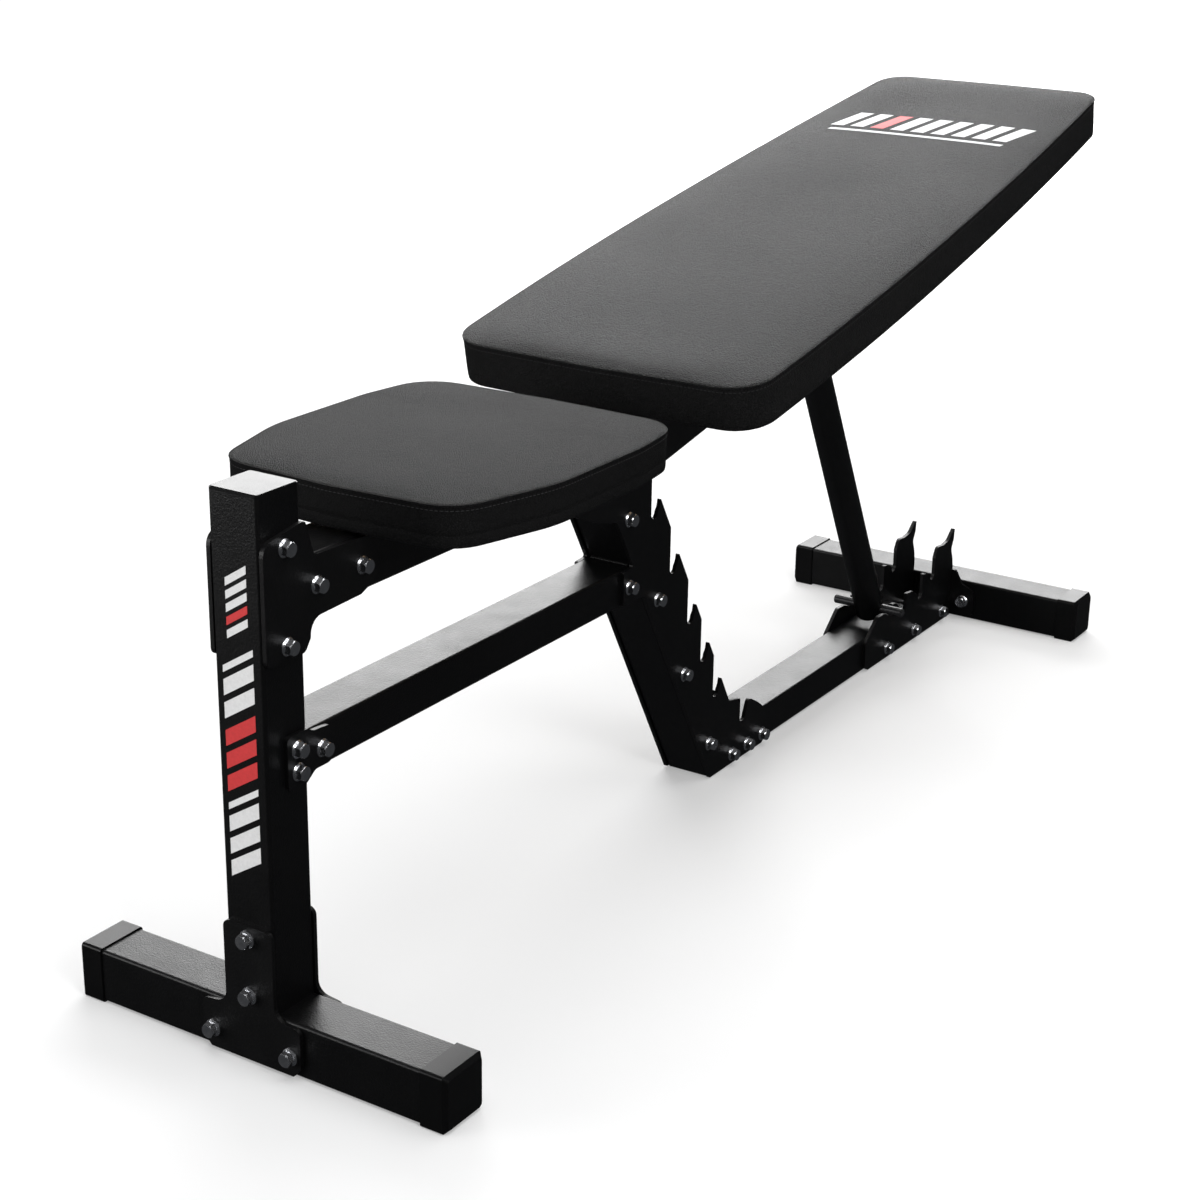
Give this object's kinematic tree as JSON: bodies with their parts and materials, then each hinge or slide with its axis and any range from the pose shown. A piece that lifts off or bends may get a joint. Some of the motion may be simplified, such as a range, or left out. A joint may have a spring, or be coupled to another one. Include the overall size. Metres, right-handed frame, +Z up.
{
  "type": "adjustable weight bench",
  "caption": "Workout bench with a fixed padded seat and a padded backrest that tilts on a hook-in strut, on a bolted black square-tube frame with slotted ladder plates.",
  "frame": {"origin": "on the floor, under the middle of the bench's overall box, on its middle plane", "axes": "+Z up; +Y lengthwise from the front post to the rear foot; +X to the right of someone looking along +Y"},
  "size_m": [0.4, 1.4368, 0.6697],
  "materials": {
    "black_tube": "semi-gloss black powder coat with a fine texture",
    "black_plate": "semi-gloss black powder coat on cut plate",
    "cap_plastic": "moulded black plastic with a soft shine",
    "bush_plastic": "dark nylon",
    "zinc": "bright zinc plating",
    "plywood": "raw plywood",
    "foam": "grey cushion foam",
    "vinyl": "black grained vinyl, matt"
  },
  "bodies": {
    "frame": {"front_foot": "black_tube", "front_cap_left": "cap_plastic", "front_cap_right": "cap_plastic", "front_post": "black_tube", "post_plug": "cap_plastic", "foot_plate_front": "black_plate", "foot_plate_rear": "black_plate", "foot_bolts": "zinc", "foot_nuts": "zinc", "upper_gusset_left": "black_plate", "upper_gusset_right": "black_plate", "lower_gusset_left": "black_plate", "lower_gusset_right": "black_plate", "gusset_bolts": "zinc", "gusset_nuts": "zinc", "seat_tube": "black_tube", "seat_tube_plug": "cap_plastic", "middle_beam": "black_tube", "slanted_tube": "black_tube", "slanted_tube_plug": "cap_plastic", "base_rail": "black_tube", "rear_foot": "black_tube", "rear_cap_left": "cap_plastic", "rear_cap_right": "cap_plastic", "ladder_plate_left": "black_plate", "ladder_plate_right": "black_plate", "ladder_bolts": "zinc", "ladder_nuts": "zinc", "catch_plate_left": "black_plate", "catch_plate_right": "black_plate", "catch_bolts": "zinc", "catch_nuts": "zinc", "seat_bracket_front": "black_tube", "seat_bracket_rear": "black_tube", "seat_screws": "zinc", "seat_board": "plywood", "seat_foam": "foam", "seat_cover": "vinyl", "pivot_spacer": "black_tube", "pivot_bolt": "zinc", "pivot_nut": "zinc"},
    "backrest": {"back_rail_left": "black_tube", "back_rail_right": "black_tube", "back_rail_plugs": "cap_plastic", "back_bushes": "bush_plastic", "back_cross_front": "black_tube", "back_cross_middle": "black_tube", "back_cross_rear": "black_tube", "back_screws": "zinc", "back_board": "plywood", "back_foam": "foam", "back_cover": "vinyl", "strut_bolt": "zinc", "strut_nut": "zinc"},
    "strut": {"strut_tube": "black_tube", "strut_sleeve": "black_tube", "strut_bar": "black_tube"}
  },
  "joints": [
    {"name": "backrest_tilt", "type": "hinge", "parent": "frame", "child": "backrest", "pos_m": [0, -0.17297, 0.432], "axis": [1, 0, 0], "range_deg": [0, 64]},
    {"name": "strut_swing", "type": "hinge", "parent": "backrest", "child": "strut", "pos_m": [0, 0.22003, 0.482], "axis": [1, 0, 0], "range_deg": [-98, 0]}
  ],
  "couplings": [
    {"joint": "strut_swing", "follows": "backrest_tilt", "ratio": -1.52}
  ]
}
